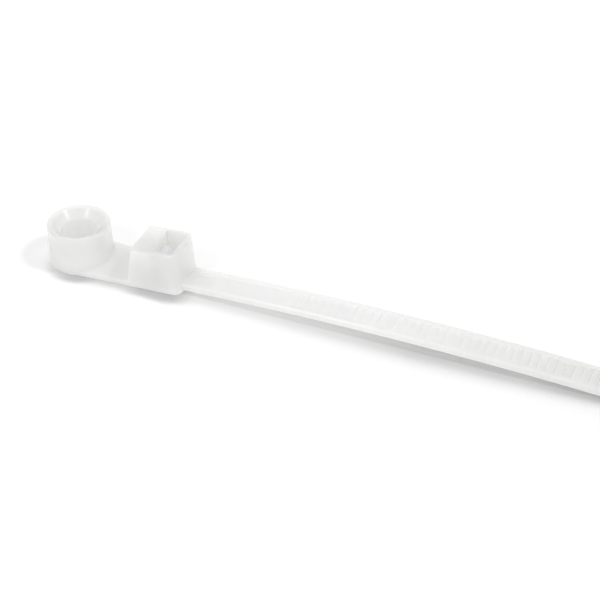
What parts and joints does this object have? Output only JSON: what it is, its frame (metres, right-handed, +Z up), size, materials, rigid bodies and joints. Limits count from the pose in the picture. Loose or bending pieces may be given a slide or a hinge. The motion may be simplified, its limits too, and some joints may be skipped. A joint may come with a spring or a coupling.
{
  "type": "screw mount cable tie",
  "caption": "Natural nylon cable tie moulded in one piece: a toothed strap, a locking head with a pawl, and a flat tab carrying a screw collar that fixes the bundle to a surface.",
  "frame": {"origin": "on the screw hole's axis, at the flat underside of the collar", "axes": "+X from the collar along the strap to its tip, +Z up along the screw hole, the underside of collar, tab and head in the plane Z = 0"},
  "size_m": [0.2149, 0.0098, 0.0068],
  "materials": {
    "natural_nylon": "milky translucent, satin moulded surface"
  },
  "bodies": {
    "root": {"cable_tie": "natural_nylon"}
  },
  "joints": []
}
